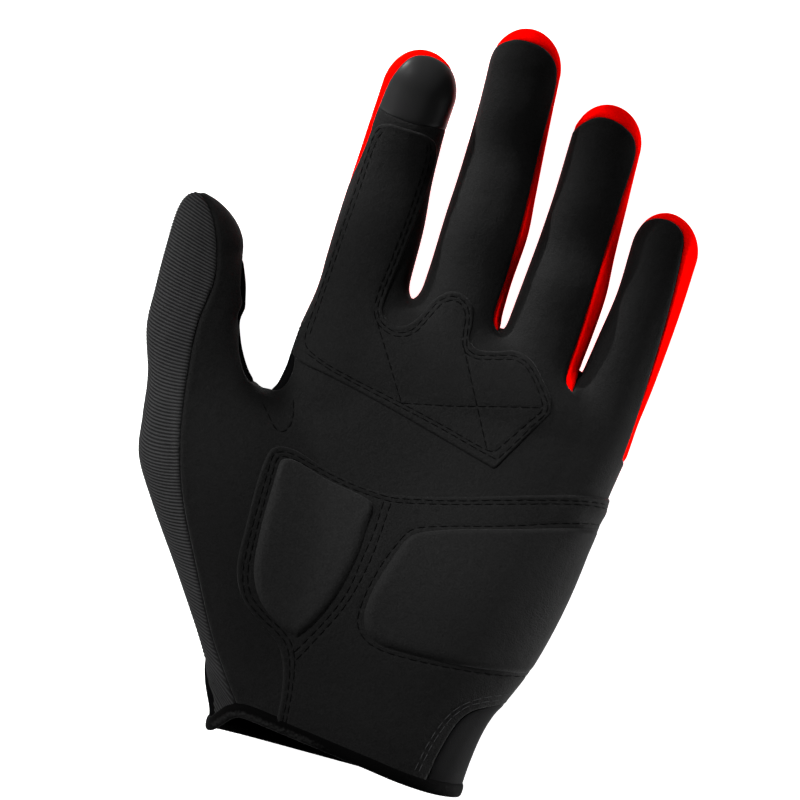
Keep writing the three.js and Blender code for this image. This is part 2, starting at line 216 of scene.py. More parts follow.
def form(p):
    """About the distance to the glove's skin, negative inside it, at each row of p."""
    x, y, z = p[:, 0], p[:, 1], p[:, 2]
    lifted = z - relief(x, y) * ramp(z, RELIEF_FROM, RELIEF_TO)
    fingers = [limb(shape, x, y, lifted) for shape in FINGERS.values()]
    body = smooth_min(limb(HAND, x, y, lifted), np.minimum.reduce(fingers), FINGER_BLEND)
    cx, cy, reach, extra = CROTCH
    web = extra * np.exp(-((x - cx) ** 2 + (y - cy) ** 2) / reach**2)
    body = smooth_min(body, limb(THUMB, x, y, lifted), THUMB_BLEND + web)
    body = smooth_max(body, thumb_gap(x, y), GAP_BLEND)
    return smooth_max(body, -z, FLOOR_BLEND)


def gradient(p, step=0.05):
    axes = np.eye(3) * step
    return np.stack([form(p + a) - form(p - a) for a in axes], axis=1) / (2 * step)


def onto_form(p, level=0.0, rounds=3, least_slope=0.05):
    """Moves points along the gradient to the surface that lies level outside the skin."""
    for _ in range(rounds):
        g = gradient(p)
        p = p - g * ((form(p) - level) / np.maximum((g * g).sum(1), least_slope))[:, None]
    return p


def normals(p):
    g = gradient(p)
    return g / np.linalg.norm(g, axis=1)[:, None]


# Triangle meshes

CORNERS = np.array([(i, j, k) for i in (0, 1) for j in (0, 1) for k in (0, 1)])
CELL_EDGES = [(a, b) for a in range(8) for b in range(a) if abs(CORNERS[a] - CORNERS[b]).sum() == 1]


def skin(level, spacing, batches=12):
    """Triangle mesh of the surface that lies level outside the skin."""
    low = np.array(GRID_LOW, float)
    count = np.ceil((np.array(GRID_HIGH) - low) / spacing).astype(int) + 1
    index = np.indices(count).reshape(3, -1).T
    values = np.concatenate([form(low + part * spacing) for part in np.array_split(index, batches)]) - level
    values = values.reshape(count)
    inside = values < 0
    whole = count - 1
    corner = [tuple(slice(c[a], c[a] + whole[a]) for a in range(3)) for c in CORNERS]
    total = sum(inside[c].astype(int) for c in corner)
    cells = np.argwhere((total > 0) & (total < 8))
    at = [values[tuple((cells + c).T)] for c in CORNERS]
    place, hits = np.zeros((len(cells), 3)), np.zeros(len(cells))
    for a, b in CELL_EDGES:
        crossing = (at[a] < 0) != (at[b] < 0)
        t = np.where(crossing, at[a] / np.where(crossing, at[a] - at[b], 1), 0)[:, None]
        place += np.where(crossing[:, None], CORNERS[a] + t * (CORNERS[b] - CORNERS[a]), 0)
        hits += crossing
    points = low + (cells + place / hits[:, None]) * spacing
    number = np.full(count, -1)
    number[tuple(cells.T)] = np.arange(len(cells))
    quads = []
    for axis in range(3):
        step = np.eye(3, dtype=int)[axis]
        u, v = np.eye(3, dtype=int)[(axis + 1) % 3], np.eye(3, dtype=int)[(axis + 2) % 3]
        a = inside[tuple(slice(0, n - s) for n, s in zip(count, step))]
        b = inside[tuple(slice(s, n) for n, s in zip(count, step))]
        for flip, mask in ((False, a & ~b), (True, ~a & b)):
            e = np.argwhere(mask)
            ring = [number[tuple((e + d).T)] for d in (-u - v, -v, 0 * u, -u)]
            quads.append(np.stack(ring[::-1] if flip else ring, axis=1))
    quads = np.concatenate(quads)
    quads = quads[quads.min(1) >= 0]
    points = relax(onto_form(points, level), quads, level)
    diagonal = np.linalg.norm(points[quads[:, 0]] - points[quads[:, 2]], axis=1)
    other = np.linalg.norm(points[quads[:, 1]] - points[quads[:, 3]], axis=1)
    turned = np.where((diagonal > other)[:, None], np.roll(quads, 1, axis=1), quads)
    return points, np.concatenate([turned[:, [0, 1, 2]], turned[:, [0, 2, 3]]])


def relax(points, quads, level, rounds=4, share=0.6):
    """Evens out the mesh along the surface: each point goes a share of the way to its neighbours' middle."""
    a = quads.ravel()
    b = np.roll(quads, -1, axis=1).ravel()
    count = np.bincount(a, minlength=len(points))[:, None]
    for _ in range(rounds):
        total = np.stack([np.bincount(a, points[b, c], len(points)) for c in range(3)], axis=1)
        points = onto_form(points + share * (total / count - points), level, 1)
    return points


def edges_of(tris, count):
    """Each edge once, and for each triangle its three edges, from corner to next corner."""
    a, b = tris, np.roll(tris, -1, axis=1)
    keys, index = np.unique(np.minimum(a, b) * count + np.maximum(a, b), return_inverse=True)
    return np.stack([keys // count, keys % count], axis=1), index.reshape(-1, 3)


def split(points, tris, edges, tri_edges, chosen, place):
    """Puts a new point on each chosen edge and rebuilds the triangles round it."""
    number = np.full(len(edges), -1)
    number[chosen] = len(points) + np.arange(chosen.sum())
    middle = number[tri_edges]
    cuts = (middle >= 0).sum(1)
    made = [tris[cuts == 0]]
    for hits in (1, 2):
        rows = cuts == hits
        t, m = tris[rows], middle[rows]
        odd = np.argmax(m >= 0, axis=1) if hits == 1 else (np.argmax(m < 0, axis=1) + 1) % 3
        turn = (np.arange(3) + odd[:, None]) % 3
        t, m = np.take_along_axis(t, turn, 1), np.take_along_axis(m, turn, 1)
        a, b, c = t.T
        if hits == 1:
            made += [np.stack([a, m[:, 0], c], 1), np.stack([m[:, 0], b, c], 1)]
        else:
            made += [np.stack([m[:, 0], b, m[:, 1]], 1)]
            made += [np.stack([a, m[:, 0], m[:, 1]], 1), np.stack([a, m[:, 1], c], 1)]
    a, b, c = tris[cuts == 3].T
    d, e, f = middle[cuts == 3].T
    made += [np.stack(corners, 1) for corners in ((a, d, f), (d, b, e), (f, e, c), (d, e, f))]
    return np.concatenate([points, place[chosen]]), np.concatenate(made)


def cut(points, tris, field, snap=0.25):
    """Adds a line of points where field is 0. Returns the mesh and its field values."""
    points = points.copy()
    values = field(points)
    edges, tri_edges = edges_of(tris, len(points))
    va, vb = values[edges[:, 0]], values[edges[:, 1]]
    crossing = va * vb < 0
    t = np.where(crossing, va / np.where(crossing, va - vb, 1), 0)
    ends = np.concatenate([edges[crossing, 0], edges[crossing, 1]])
    share = np.concatenate([t[crossing], 1 - t[crossing]])
    others = np.concatenate([edges[crossing, 1], edges[crossing, 0]])
    order = np.argsort(-share)
    order = order[share[order] < snap]
    moved = points[ends[order]] + share[order, None] * (points[others[order]] - points[ends[order]])
    points[ends[order]] = moved
    values[ends[order]] = 0
    va, vb = values[edges[:, 0]], values[edges[:, 1]]
    chosen = va * vb < 0
    t = np.where(chosen, va / np.where(chosen, va - vb, 1), 0)[:, None]
    place = points[edges[:, 0]] * (1 - t) + points[edges[:, 1]] * t
    points, tris = split(points, tris, edges, tri_edges, chosen, place)
    return points, tris, np.concatenate([values, np.zeros(chosen.sum())])


def compact(points, tris):
    used, index = np.unique(tris, return_inverse=True)
    return points[used], index.reshape(-1, 3)


def parted(points, tris, field):
    """The mesh's part where field is above 0, and its part where it is below."""
    points, tris, values = cut(points, tris, field)
    above = values[tris].sum(1) > 0
    return compact(points, tris[above]), compact(points, tris[~above])


def refined(points, tris, near):
    """Splits the long edges of triangles that near() says are close to something."""
    edges, tri_edges = edges_of(tris, len(points))
    length = np.linalg.norm(points[edges[:, 0]] - points[edges[:, 1]], axis=1)
    wanted = near(points)[tris].any(1)
    chosen = np.zeros(len(edges), bool)
    chosen[tri_edges[wanted].ravel()] = True
    chosen &= length > FINE
    place = (points[edges[:, 0]] + points[edges[:, 1]]) / 2
    return split(points, tris, edges, tri_edges, chosen, place)


def border(points, tris):
    """The edges that belong to one triangle, in that triangle's direction."""
    pairs = np.stack([tris, np.roll(tris, -1, axis=1)], axis=2).reshape(-1, 2)
    keys = pairs.min(1) * len(points) + pairs.max(1)
    _, index, count = np.unique(keys, return_inverse=True, return_counts=True)
    return pairs[count[index] == 1]


def distance(points, samples):
    """Distance from each point to the nearest sample, up to FAR."""
    if len(samples) == 0:
        return np.full(len(points), FAR)
    tree = KDTree(len(samples))
    for i, sample in enumerate(samples):
        tree.insert(sample, i)
    tree.balance()
    return np.minimum(np.array([tree.find(p)[2] for p in points]), FAR)


# Plan curves

def curve(knots, spacing=0.5):
    """Smooth centripetal curve through knots, as evenly spaced points."""
    p = np.array(knots, float)
    if len(p) == 2:
        steps = max(int(np.linalg.norm(p[1] - p[0]) / spacing), 1)
        return p[0] + (p[1] - p[0]) * np.linspace(0, 1, steps + 1)[:, None]
    p = np.concatenate([[2 * p[0] - p[1]], p, [2 * p[-1] - p[-2]]])
    pieces = []
    for a, b, c, d in zip(p, p[1:], p[2:], p[3:]):
        ta, tb, tc = (max(np.linalg.norm(v - u), 1e-6) ** 0.5 for u, v in ((a, b), (b, c), (c, d)))
        start = ((b - a) / ta - (c - a) / (ta + tb) + (c - b) / tb) * tb
        end = ((c - b) / tb - (d - b) / (tb + tc) + (d - c) / tc) * tb
        t = np.linspace(0, 1, max(int(np.linalg.norm(c - b) / spacing * 2), 2), endpoint=False)[:, None]
        pieces.append(b * (2 * t**3 - 3 * t**2 + 1) + start * (t**3 - 2 * t**2 + t)
                      + c * (3 * t**2 - 2 * t**3) + end * (t**3 - t**2))
    line = np.concatenate(pieces + [p[-2:-1]])
    return at_lengths(line, np.linspace(0, 1, max(int(length_of(line) / spacing), 2)) * length_of(line))


def length_of(line):
    return np.linalg.norm(np.diff(line, axis=0), axis=1).sum()


def lengths_along(line):
    return np.concatenate([[0], np.cumsum(np.linalg.norm(np.diff(line, axis=0), axis=1))])


def at_lengths(line, where):
    """The line's rows at these lengths along it; columns after its place go with them."""
    travelled = lengths_along(line[:, :3])
    return np.stack([np.interp(where, travelled, column) for column in line.T], axis=-1)


def outline(stretches):
    return np.concatenate([curve(s)[:-1] for s in stretches])


def inside(loop, batch=8000):
    """Field of a plan outline: the distance to it, above 0 within it."""
    a, b = loop, np.roll(loop, -1, axis=0)
    along_edge = b - a
    square = (along_edge**2).sum(1)

    def field(points):
        result = np.empty(len(points))
        for part in np.array_split(np.arange(len(points)), max(len(points) // batch, 1)):
            p = points[part, None, :2]
            t = np.clip(((p - a) * along_edge).sum(2) / square, 0, 1)
            away = np.sqrt(((p - a - t[..., None] * along_edge) ** 2).sum(2).min(1))
            spans = (a[:, 1] > p[..., 1]) != (b[:, 1] > p[..., 1])
            rise = np.where(along_edge[:, 1] == 0, 1, along_edge[:, 1])
            x_there = a[:, 0] + (p[..., 1] - a[:, 1]) / rise * along_edge[:, 0]
            odd = (spans & (p[..., 0] < x_there)).sum(1) % 2 == 1
            result[part] = np.where(odd, away, -away)
        return result

    return field


def left_of(line):
    """Field of an open plan line: the distance to it, above 0 on its left."""
    line = np.array(line, float)
    first, last = line[0] - line[1], line[-1] - line[-2]
    first, last = first / np.linalg.norm(first), last / np.linalg.norm(last)
    start, end = line[0] + first * LINE_END, line[-1] + last * LINE_END
    side = np.array([-(end - start)[1], (end - start)[0]])
    side = side / np.linalg.norm(side) * LINE_SIDE
    return inside(np.concatenate([[start], line, [end, end + side, start + side]]))


def both(*fields, reach=2.0):
    def field(points):
        result = fields[0](points)
        for other in fields[1:]:
            result = smooth_min(result, other(points), reach)
        return result

    return field


def above(height):
    return lambda points: points[:, 2] - height


def above_wrist_seam(points):
    rows = np.array(WRIST_SEAM, float)
    return points[:, 2] - np.interp(points[:, 1], rows[:, 0], rows[:, 1])


RIB_SEAM = [
    (-28, -51.5), (-33, -45), (-40, -35), (-50, -16), (-60, 5), (-65, 22), (-67.8, 42), (-68.5, 55),
    (-67.2, 69), (-70.5, 82), (-75, 89.7), (-79, 92.9),
]
GUSSET_SEAM = [
    (54, -26.5), (53.4, -28.6), (50.6, -30.4), (44.6, -33), (40.2, -35.6), (37.4, -39.4), (35, -46.4),
    (32.6, -58.3), (31.4, -70),
]
PALM = outline([
    RIB_SEAM,
    [(-79, 92.9), (-80, 98), (-70, 96), (-60, 86)],
    [(-60, 86), (-61.4, 80.6), (-61.2, 77), (-60.2, 73), (-59, 68), (-57.4, 63.6), (-57.8, 60),
     (-56.7, 56.5), (-55, 51), (-52.5, 46), (-50.4, 43.2), (-48.9, 42.2), (-47.4, 46)],
    [(-47.4, 46), (-44.4, 46)],
    [(-44.4, 46), (-43, 42), (-42, 41.6), (-40.2, 42.6), (-38.8, 44.8), (-38.3, 50), (-39.3, 55),
     (-38.8, 59.4), (-40.2, 63), (-43, 68)],
    [(-43, 68), (-42, 103), (-36.6, 108)],
    [(-36.6, 108), (-35, 120), (-34.1, 131), (-32.2, 142), (-28, 149), (-22, 150.4), (-16.5, 148.6),
     (-12, 145)],
    [(-12, 145), (-8.5, 148), (-6, 154), (-4.2, 159.5), (0, 162.1), (5, 162.5), (10, 161.5), (14, 158.4),
     (15.6, 154), (16.3, 135), (17, 110), (16.8, 92), (16.2, 81), (16.9, 78), (18.6, 76.4)],
    [(18.6, 76.4), (19.5, 82), (20.9, 100), (21.4, 130), (23.2, 138), (26, 143.2), (30, 146.2),
     (34, 146.6), (39, 145.3), (42.7, 142.8), (44.3, 139), (43.9, 122), (43, 100), (42.3, 80), (41.8, 70),
     (42.4, 66.6), (44.6, 64.6)],
    [(44.6, 64.6), (45.6, 71), (48, 96), (48.9, 112), (51.2, 118.2), (54, 121.3), (58, 122.3),
     (62, 121.3), (64.6, 118.6), (65.7, 112), (66.4, 92), (65.6, 60), (64.7, 49)],
    [(64.7, 49), (70, 45)],
    [(70, 45), (72, -26.5), (54, -26.5)],
    GUSSET_SEAM,
    [(30, -70), (-28, -75)],
    [(-28, -75), (-28, -51.5)],
])
GUSSET = outline([GUSSET_SEAM, [(30, -70), (72, -72)], [(72, -72), (72, -26.5)], [(72, -26.5), (54, -26.5)]])
TIP_CAP = outline([
    [(-38, 131.8), (-34, 131.4), (-31, 130.2), (-22, 129.2), (-14, 130.2), (-9, 131)],
    [(-9, 131), (-7, 156)],
    [(-7, 156), (-42, 156)],
    [(-42, 156), (-38, 131.8)],
])
PALM_OVERLAY = outline([
    [(-42, 56.5), (-37.3, 66), (-36.5, 75), (-35.7, 90), (-34.8, 105), (-34.1, 115), (-33.6, 122.5),
     (-32.5, 126), (-29, 127.5)],
    [(-29, 127.5), (-18, 127)],
    [(-18, 127), (-14.8, 125.6), (-13.6, 122), (-13.8, 108), (-15.4, 90), (-16.8, 77), (-16.3, 72),
     (-12.5, 69.6), (-9, 70.2), (-6, 73.4), (-2.5, 80.3), (1.4, 83.8), (5.6, 83.8), (9, 81.2), (10.3, 76),
     (10.9, 71), (13.5, 69.2), (19, 69.9), (25, 71.7), (30, 70.4), (35, 65.4), (39, 60.2), (39.6, 56.6)],
    [(39.6, 56.6), (28, 36)],
    [(28, 36), (10, 40.8), (-10, 46), (-28, 50), (-34, 51), (-37.6, 52.2), (-39.8, 54.2), (-41, 57)],
    [(-41, 57), (-42, 56.5)],
])
HEEL_OVERLAY = outline([
    [(-15, -72), (-15.2, -48), (-17.4, -37), (-20.4, -31.4), (-28, -26), (-35, -19.6), (-38.2, -12),
     (-38.8, 0), (-38.7, 20), (-37.2, 24.9), (-32.5, 26), (-20, 22.8), (-8, 20.6), (2, 20.9), (20, 25.3),
     (40, 31.2), (57, 35.6), (72, 37)],
    [(72, 37), (74, -26.5), (54, -26.5)],
    GUSSET_SEAM,
    [(30, -70), (-15, -72)],
])
THENAR_TOP = [(-34.5, 19), (-34, 22), (-31, 22.9), (-20, 20.1), (-8, 18), (-4.8, 17)]
THENAR_PAD = outline([
    [(-4.8, 17), (-3.7, 15), (-3.9, 8), (-4.4, 0), (-7.4, -13), (-11.6, -22.5), (-15.4, -27.8)],
    [(-15.4, -27.8), (-20.4, -26.2), (-28.6, -20.4), (-33, -12.5), (-34.5, 0), (-34.5, 19)],
    THENAR_TOP,
])
HYPOTHENAR_TOP = [(74, 27.5), (60, 26.4), (40, 20.9), (20, 15.2), (11, 11.6)]
HYPOTHENAR_PAD = outline([
    HYPOTHENAR_TOP[:-1] + [(11, 11.6), (8.4, 9.4), (5, 1), (2.4, -8), (1.6, -15)],
    [(1.6, -15), (3.4, -20), (8.4, -23.2), (16, -23.7), (36, -22.7), (54, -20.2), (74, -18)],
    [(74, -18), (74, 27.5)],
])
THUMB_SEAM = [
    (-25, -72), (-26, -52), (-31, -40), (-38, -10), (-45, 20), (-54, 45), (-61, 62), (-67, 80), (-78, 96),
]
# Lowest height of the rib knit along the glove: it turns up over the side towards the cuff.
WRIST_SEAM = [(-72, 23), (-60, 21.5), (-52, 20.5), (-46, 18), (-42, 14), (-36, 6), (-30, -5)]
KNUCKLE_LINE = [(75, 46), (10, 60), (-43, 63.8), (-47, 120)]
FINGER_GAPS = [[(-10, 40), (-8.6, 175)], [(17.2, 40), (23.5, 175)], [(42.5, 40), (55, 175)]]
# Middle of the cuff binding's front half, and its height along Y behind the wrist.
CUFF_FRONT = [
    (-60, -60), (-36, -60), (-34, -59.7), (-31.6, -57.2), (-29.4, -54.7), (-26.5, -53.3), (-22, -53.3),
    (-15, -54.1), (-5, -55.3), (5, -56.6), (15, -57.9), (25, -59.3), (35, -60), (41, -59.8), (45, -59.4),
    (60, -59.4),
]
CUFF_BACK = -59.6
CUFF_RISE = (8, 22)  # heights between which the edge runs from the back's place to the front's
CUFF_CENTRE = (3.5, 0, 14.5)
CUFF_ROLL = (1.1, 2.2)  # half the binding's thickness, and half its width along the glove
ROLL_SINK = 0.45  # how far the binding's middle lies under the skin


def cuff_y(p):
    """Place along Y of the glove's open edge, for points at any height."""
    front = curve(CUFF_FRONT)
    ahead = ramp(p[:, 2], *CUFF_RISE)
    return CUFF_BACK + (np.interp(p[:, 0], front[:, 0], front[:, 1]) - CUFF_BACK) * ahead


def past_cuff(points):
    return points[:, 1] - cuff_y(points)


# Panels

def tuck(points, tris, raised, out):
    """Folds a panel's edge in: a strip from its raised border down into the glove."""
    pairs = border(points, tris)
    rim, index = np.unique(pairs, return_inverse=True)
    index = index.reshape(-1, 2) + len(points)
    folded = raised[rim] - out[rim] * HEM
    a, b = pairs.T
    c, d = index.T
    strip = np.concatenate([np.stack([b, a, c], 1), np.stack([b, c, d], 1)])
    return np.concatenate([raised, folded]), np.concatenate([tris, strip])


def border_samples(points, tris, per_edge=4):
    a, b = points[border(points, tris).T]
    kept = a[:, 1] > HIDDEN_BELOW
    a, b = a[kept], b[kept]
    shares = np.arange(per_edge) / per_edge
    return np.concatenate([a + (b - a) * s for s in shares])


def seam_profile(away):
    """A sewn edge: turned down at the seam, slightly full beside it."""
    return FULLNESS * hill(away, 1.6, 0.9) - SEAM_DEPTH * hill(away, 0, 0.45)


def sheet_profile(away):
    """A stitched-on layer: a quick round edge, a slightly full lip and a level face."""
    t = np.clip(away / LIP, 0, 1)
    rise = 0.3 + 0.7 * np.sqrt(1 - (1 - t) ** 2)
    return OVERLAY_RISE * rise + FULLNESS * hill(away, LIP, 0.45)


shown = {}  # each panel's finished mesh, which the stitches are laid on


def make_mesh(name, points, tris, material):
    mesh = bpy.data.meshes.new(name)
    mesh.from_pydata(np.asarray(points * MM).tolist(), [], np.asarray(tris).tolist())
    mesh.polygons.foreach_set("use_smooth", np.ones(len(mesh.polygons), bool))
    mesh.materials.append(material)
    piece = bpy.data.objects.new(name, mesh)
    bpy.context.scene.collection.objects.link(piece)
    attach(piece, "root")
    return piece


def sewn(name, points, tris, height, out, material):
    """Raises a panel's points by their height, folds its edge in and makes it a piece."""
    folded, tris = tuck(points, tris, points + out * height[:, None], out)
    shown[name] = (folded, tris)
    piece = make_mesh(name + "_cloth", folded, tris, material)
    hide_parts(name)
    return piece


def panel(name, mesh, material, near, height):
    """One sewn panel: its part of the skin, finer near its seams, raised along the skin's normals."""
    points, tris = refined(*mesh, near)
    points = onto_form(points, 0, 1)
    out = normals(points)
    away = distance(points, border_samples(points, tris))
    return sewn(name, points, tris, height(points, away, out), out, material)


def flat(points):
    return np.concatenate([points[:, :2], np.zeros((len(points), 1))], axis=1)


def channels(lines):
    """Height of the stitch channels pressed into a panel along plan lines."""
    samples = np.concatenate([flat(curve(line, 0.3)) for line in lines])
    return lambda points: -CHANNEL_DEPTH * hill(distance(flat(points), samples), 0, 0.3)


# Stitch lines, in plan

def beside(line, gap):
    """A plan curve that runs at a gap from another one, on its left."""
    points = curve(line, 0.4)
    ahead = np.gradient(points, axis=0)
    ahead = ahead / np.linalg.norm(ahead, axis=1)[:, None]
    return points + gap * np.stack([-ahead[:, 1], ahead[:, 0]], axis=1)


ROW_GAP = 1.15
SCALLOPS = [
    (36.2, 61.8), (31.6, 67.2), (28.6, 69.4), (25, 70.2), (19, 68.6), (13, 67.6), (10.6, 69), (9.5, 73),
    (8.9, 77.6), (7.3, 80.8), (5, 82.4), (2, 82.4), (-1, 80.2), (-4, 74.4), (-6.4, 70), (-9.4, 68),
    (-13, 68), (-16.6, 70), (-18.2, 73),
]
PALM_OVERLAY_STITCHES = [
    [(-31.4, 125.8), (-32.7, 124), (-33.4, 118), (-34.2, 104), (-35.1, 90), (-36.1, 75), (-37, 62),
     (-36.8, 58)],
    [(-30.6, 124.8), (-31.6, 122.4), (-32.2, 118), (-33, 104), (-34, 90), (-34.9, 75), (-35.8, 60)],
    [(-36.8, 58), (-35.4, 56.2), (-30, 53.6), (-20, 51), (-4, 47.7), (10, 44.5), (24, 41), (26.6, 40.9)],
    [(-35, 54.6), (-28, 52), (-20, 50), (0, 45.7), (10, 43.4), (24, 39.8), (28, 39)],
    [(28, 39), (31.4, 44.4), (35.6, 51.6), (38.4, 56.4), (38.4, 58.4)] + SCALLOPS
    + [(-18.2, 77), (-16.8, 90), (-15.4, 106), (-15, 121), (-16.2, 125.4)],
    beside(SCALLOPS, ROW_GAP),
    [(26.6, 40.9), (30, 46), (34.4, 52.6), (37, 57), (35.6, 60.6)],
    [(-19.4, 74), (-19.4, 77), (-18, 90), (-16.6, 106), (-16.2, 121), (-17, 124.6)],
    [(-17.6, 69.6), (-4, 47.8)],
    [(-4, 47.8), (10, 50.7), (22, 53.8), (36.6, 57.4)],
    [(9.2, 69.4), (24.2, 41.2)],
]
HEEL_STITCHES = [
    [(-36.8, 20.4), (-36.6, 22.6), (-35.4, 24), (-32, 24.6), (-25, 23.2), (-15, 21), (-5, 19.9), (1, 19.9),
     (10, 21.7), (20, 24.1), (30, 27), (40, 29.8), (50, 32.4), (58, 34.1), (63, 34.6)],
    [(-35.4, 20), (-35.2, 21.8), (-34.2, 23), (-31.6, 23.3), (-25, 22), (-15, 19.8), (-6, 18.8), (1, 18.7),
     (10, 20.5), (20, 23), (30, 25.8), (40, 28.6), (50, 31.3), (58, 33), (63.4, 33.4)],
    [(-36.8, 20.4), (-36.9, 0), (-36.4, -11), (-35.3, -16), (-33, -20.5), (-28, -24.3), (-22, -27.6),
     (-18.6, -30), (-16.6, -33), (-15.2, -37), (-13.8, -44), (-13, -54)],
    [(-35.4, 20), (-35.4, 0), (-35, -10.4), (-34, -15.3), (-31.6, -19.4), (-26.2, -23.6), (-20, -27),
     (-16.6, -30), (-14.4, -34.5), (-12.7, -44), (-11.9, -54)],
    [(-1.3, 18.5), (-1.8, 8), (-3, 0), (-4.5, -10), (-7, -17), (-11, -25), (-15.4, -32.5)],
    [(0.9, 18.5), (0.2, 8), (-0.6, 0), (-2.2, -8), (-4.7, -16), (-8.4, -23.7), (-12.2, -31), (-14.2, -34.5)],
    [(63, 28.2), (60, 27.8), (50, 25.3), (40, 22), (30, 19), (20, 16.3), (9.4, 12.5), (7.3, 10), (5.4, 6),
     (3.4, 1), (1.7, -5), (0.7, -10), (0.3, -15), (0.6, -18.4), (2.2, -21.2), (5, -23.4), (9, -24.6),
     (15, -25), (25, -24.7), (35, -24), (42, -23.3), (50, -22), (55, -21)],
]
PALM_STITCHES = [
    [(-44, 37), (-40.4, 33), (-38.2, 30.7), (-36.6, 30), (-35, 30.8), (-34, 33.4), (-34.3, 36.5),
     (-35.4, 40.4)],
]
GUSSET_STITCHES = [
    [(50.4, -27.6), (44, -30.1), (40, -32.2), (36.6, -35), (34, -38.5), (32, -43), (30.4, -48), (28.6, -57)],
    [(49.6, -29.5), (43.6, -31.7), (39.6, -33.8), (37, -36.3), (34.9, -39.4), (33.1, -43.6), (31.5, -48.6),
     (29.9, -57)],
]
STITCH = 3.0
STITCH_PITCH = 3.35
THREAD = 0.128  # half its thickness
THREAD_END = 0.45  # share of that at a stitch's ends
# How deep its ends lie and how far its middle rises from there, in half thicknesses
THREAD_SINK, THREAD_ARCH = 0.7, 1.3
DROP_FROM = 60


def seated(line, tree):
    """A plan line dropped on the glove: its points and the way out at each."""
    hits = [tree.ray_cast(Vector((x, y, DROP_FROM)), Vector((0, 0, -1))) for x, y in curve(line, 0.4)]
    return np.array([(*h[0], *h[1]) for h in hits if h[0] is not None and h[1].z > 0.1])


def stitches(name, lines, tree, material, sides=6, stations=6):
    """Separate threads along each line, both ends sunk in the panel."""
    all_points, all_tris, base = [], [], 0
    share = np.linspace(0, 1, stations)
    arch = np.sqrt(np.maximum(1 - (2 * share - 1) ** 2, 0))
    lift = ((arch * THREAD_ARCH - THREAD_SINK) * THREAD)[None, :, None]
    thick = (THREAD * (THREAD_END + (1 - THREAD_END) * arch))[None, :, None, None]
    turn = np.arange(sides) * 2 * math.pi / sides
    for line in lines:
        rows = seated(line, tree)
        total = length_of(rows[:, :3])
        count = max(int(round(total / STITCH_PITCH)), 1)
        start = (np.arange(count) + 0.5) * total / count - STITCH / 2
        place = at_lengths(rows, start[:, None] + share * STITCH)
        middle, out = place[..., :3], place[..., 3:]
        out = out / np.linalg.norm(out, axis=2)[..., None]
        ahead = np.gradient(middle, axis=1)
        ahead = ahead / np.linalg.norm(ahead, axis=2)[..., None]
        across = np.cross(out, ahead)
        middle = middle + out * lift
        ring = across[:, :, None] * np.cos(turn)[:, None] + out[:, :, None] * np.sin(turn)[:, None]
        all_points.append((middle[:, :, None] + ring * thick).reshape(-1, 3))
        number = base + np.arange(count * stations * sides).reshape(count, stations, sides)
        base += number.size
        following = np.roll(number, -1, axis=2)
        a, b, c, d = number[:, :-1], following[:, :-1], number[:, 1:], following[:, 1:]
        all_tris += [np.stack([a, b, d], 3).reshape(-1, 3), np.stack([a, d, c], 3).reshape(-1, 3)]
        first, last = number[:, 0], number[:, -1]
        for k in range(1, sides - 1):
            all_tris.append(np.stack([first[:, 0], first[:, k + 1], first[:, k]], 1))
            all_tris.append(np.stack([last[:, 0], last[:, k], last[:, k + 1]], 1))
    piece = make_mesh(name, np.concatenate(all_points), np.concatenate(all_tris), material)


# Materials

GRAIN, CREASE = 0.5, 2.6  # sizes of the leather's fine and coarse grain
GRAIN_DEPTH = 0.18
SHEEN, SHEEN_ROUGHNESS = 0.035, 0.35
TONE_RANGE = 0.3  # how far the leather's tone goes up and down
# Painted shade: the leather's colour is made darker in the fold between thumb and index finger.
FOLD = (-0.045, 0.042, 0.022)  # the middle of the painted shade in the fold between thumb and index finger, in metres
FOLD_FROM, FOLD_TO = 2, 13  # distances from it between which its painted shade ends
FOLD_SHADE = 0.5


def grey(tone):
    return (tone, tone, tone)


def base_material(name, colour, roughness, specular):
    material = bpy.data.materials.new(name)
    material.use_nodes = True
    shader = material.node_tree.nodes["Principled BSDF"]
    shader.inputs["Base Color"].default_value = (*colour, 1)
    shader.inputs["Roughness"].default_value = roughness
    shader.inputs["Specular IOR Level"].default_value = specular
    return material, shader


def node(material, kind, inputs=None, **settings):
    made = material.node_tree.nodes.new(kind)
    for key, value in settings.items():
        setattr(made, key, value)
    for key, value in (inputs or {}).items():
        if isinstance(value, bpy.types.NodeSocket):
            material.node_tree.links.new(value, made.inputs[key])
        else:
            made.inputs[key].default_value = value
    return made


def object_place(material):
    return node(material, "ShaderNodeTexCoord").outputs["Object"]


def noise(material, size, detail=2.0, roughness=0.5):
    """Noise whose lumps are about size millimetres across."""
    inputs = {"Vector": object_place(material), "Scale": 1 / (size * MM)}
    inputs.update({"Detail": detail, "Roughness": roughness})
    return node(material, "ShaderNodeTexNoise", inputs).outputs["Fac"]


def maths(material, operation, a, b):
    return node(material, "ShaderNodeMath", {0: a, 1: b}, operation=operation).outputs[0]


def add_bump(material, shader, height, depth):
    """Fine relief, depth in millimetres from the lowest to the highest point."""
    made = node(material, "ShaderNodeBump", {"Height": height, "Distance": depth * MM, "Strength": 1.0})
    material.node_tree.links.new(made.outputs[0], shader.inputs["Normal"])


def add_tone(material, shader, factor, dark, light, low=0.3, high=0.7):
    """Colour between dark and light, by a factor between low and high."""
    ramp = node(material, "ShaderNodeValToRGB", {"Fac": factor})
    for element, position, colour in zip(ramp.color_ramp.elements, (low, high), (dark, light)):
        element.position = position
        element.color = (*colour, 1)
    material.node_tree.links.new(ramp.outputs["Color"], shader.inputs["Base Color"])


def add_sheen(shader):
    shader.inputs["Sheen Weight"].default_value = SHEEN
    shader.inputs["Sheen Roughness"].default_value = SHEEN_ROUGHNESS


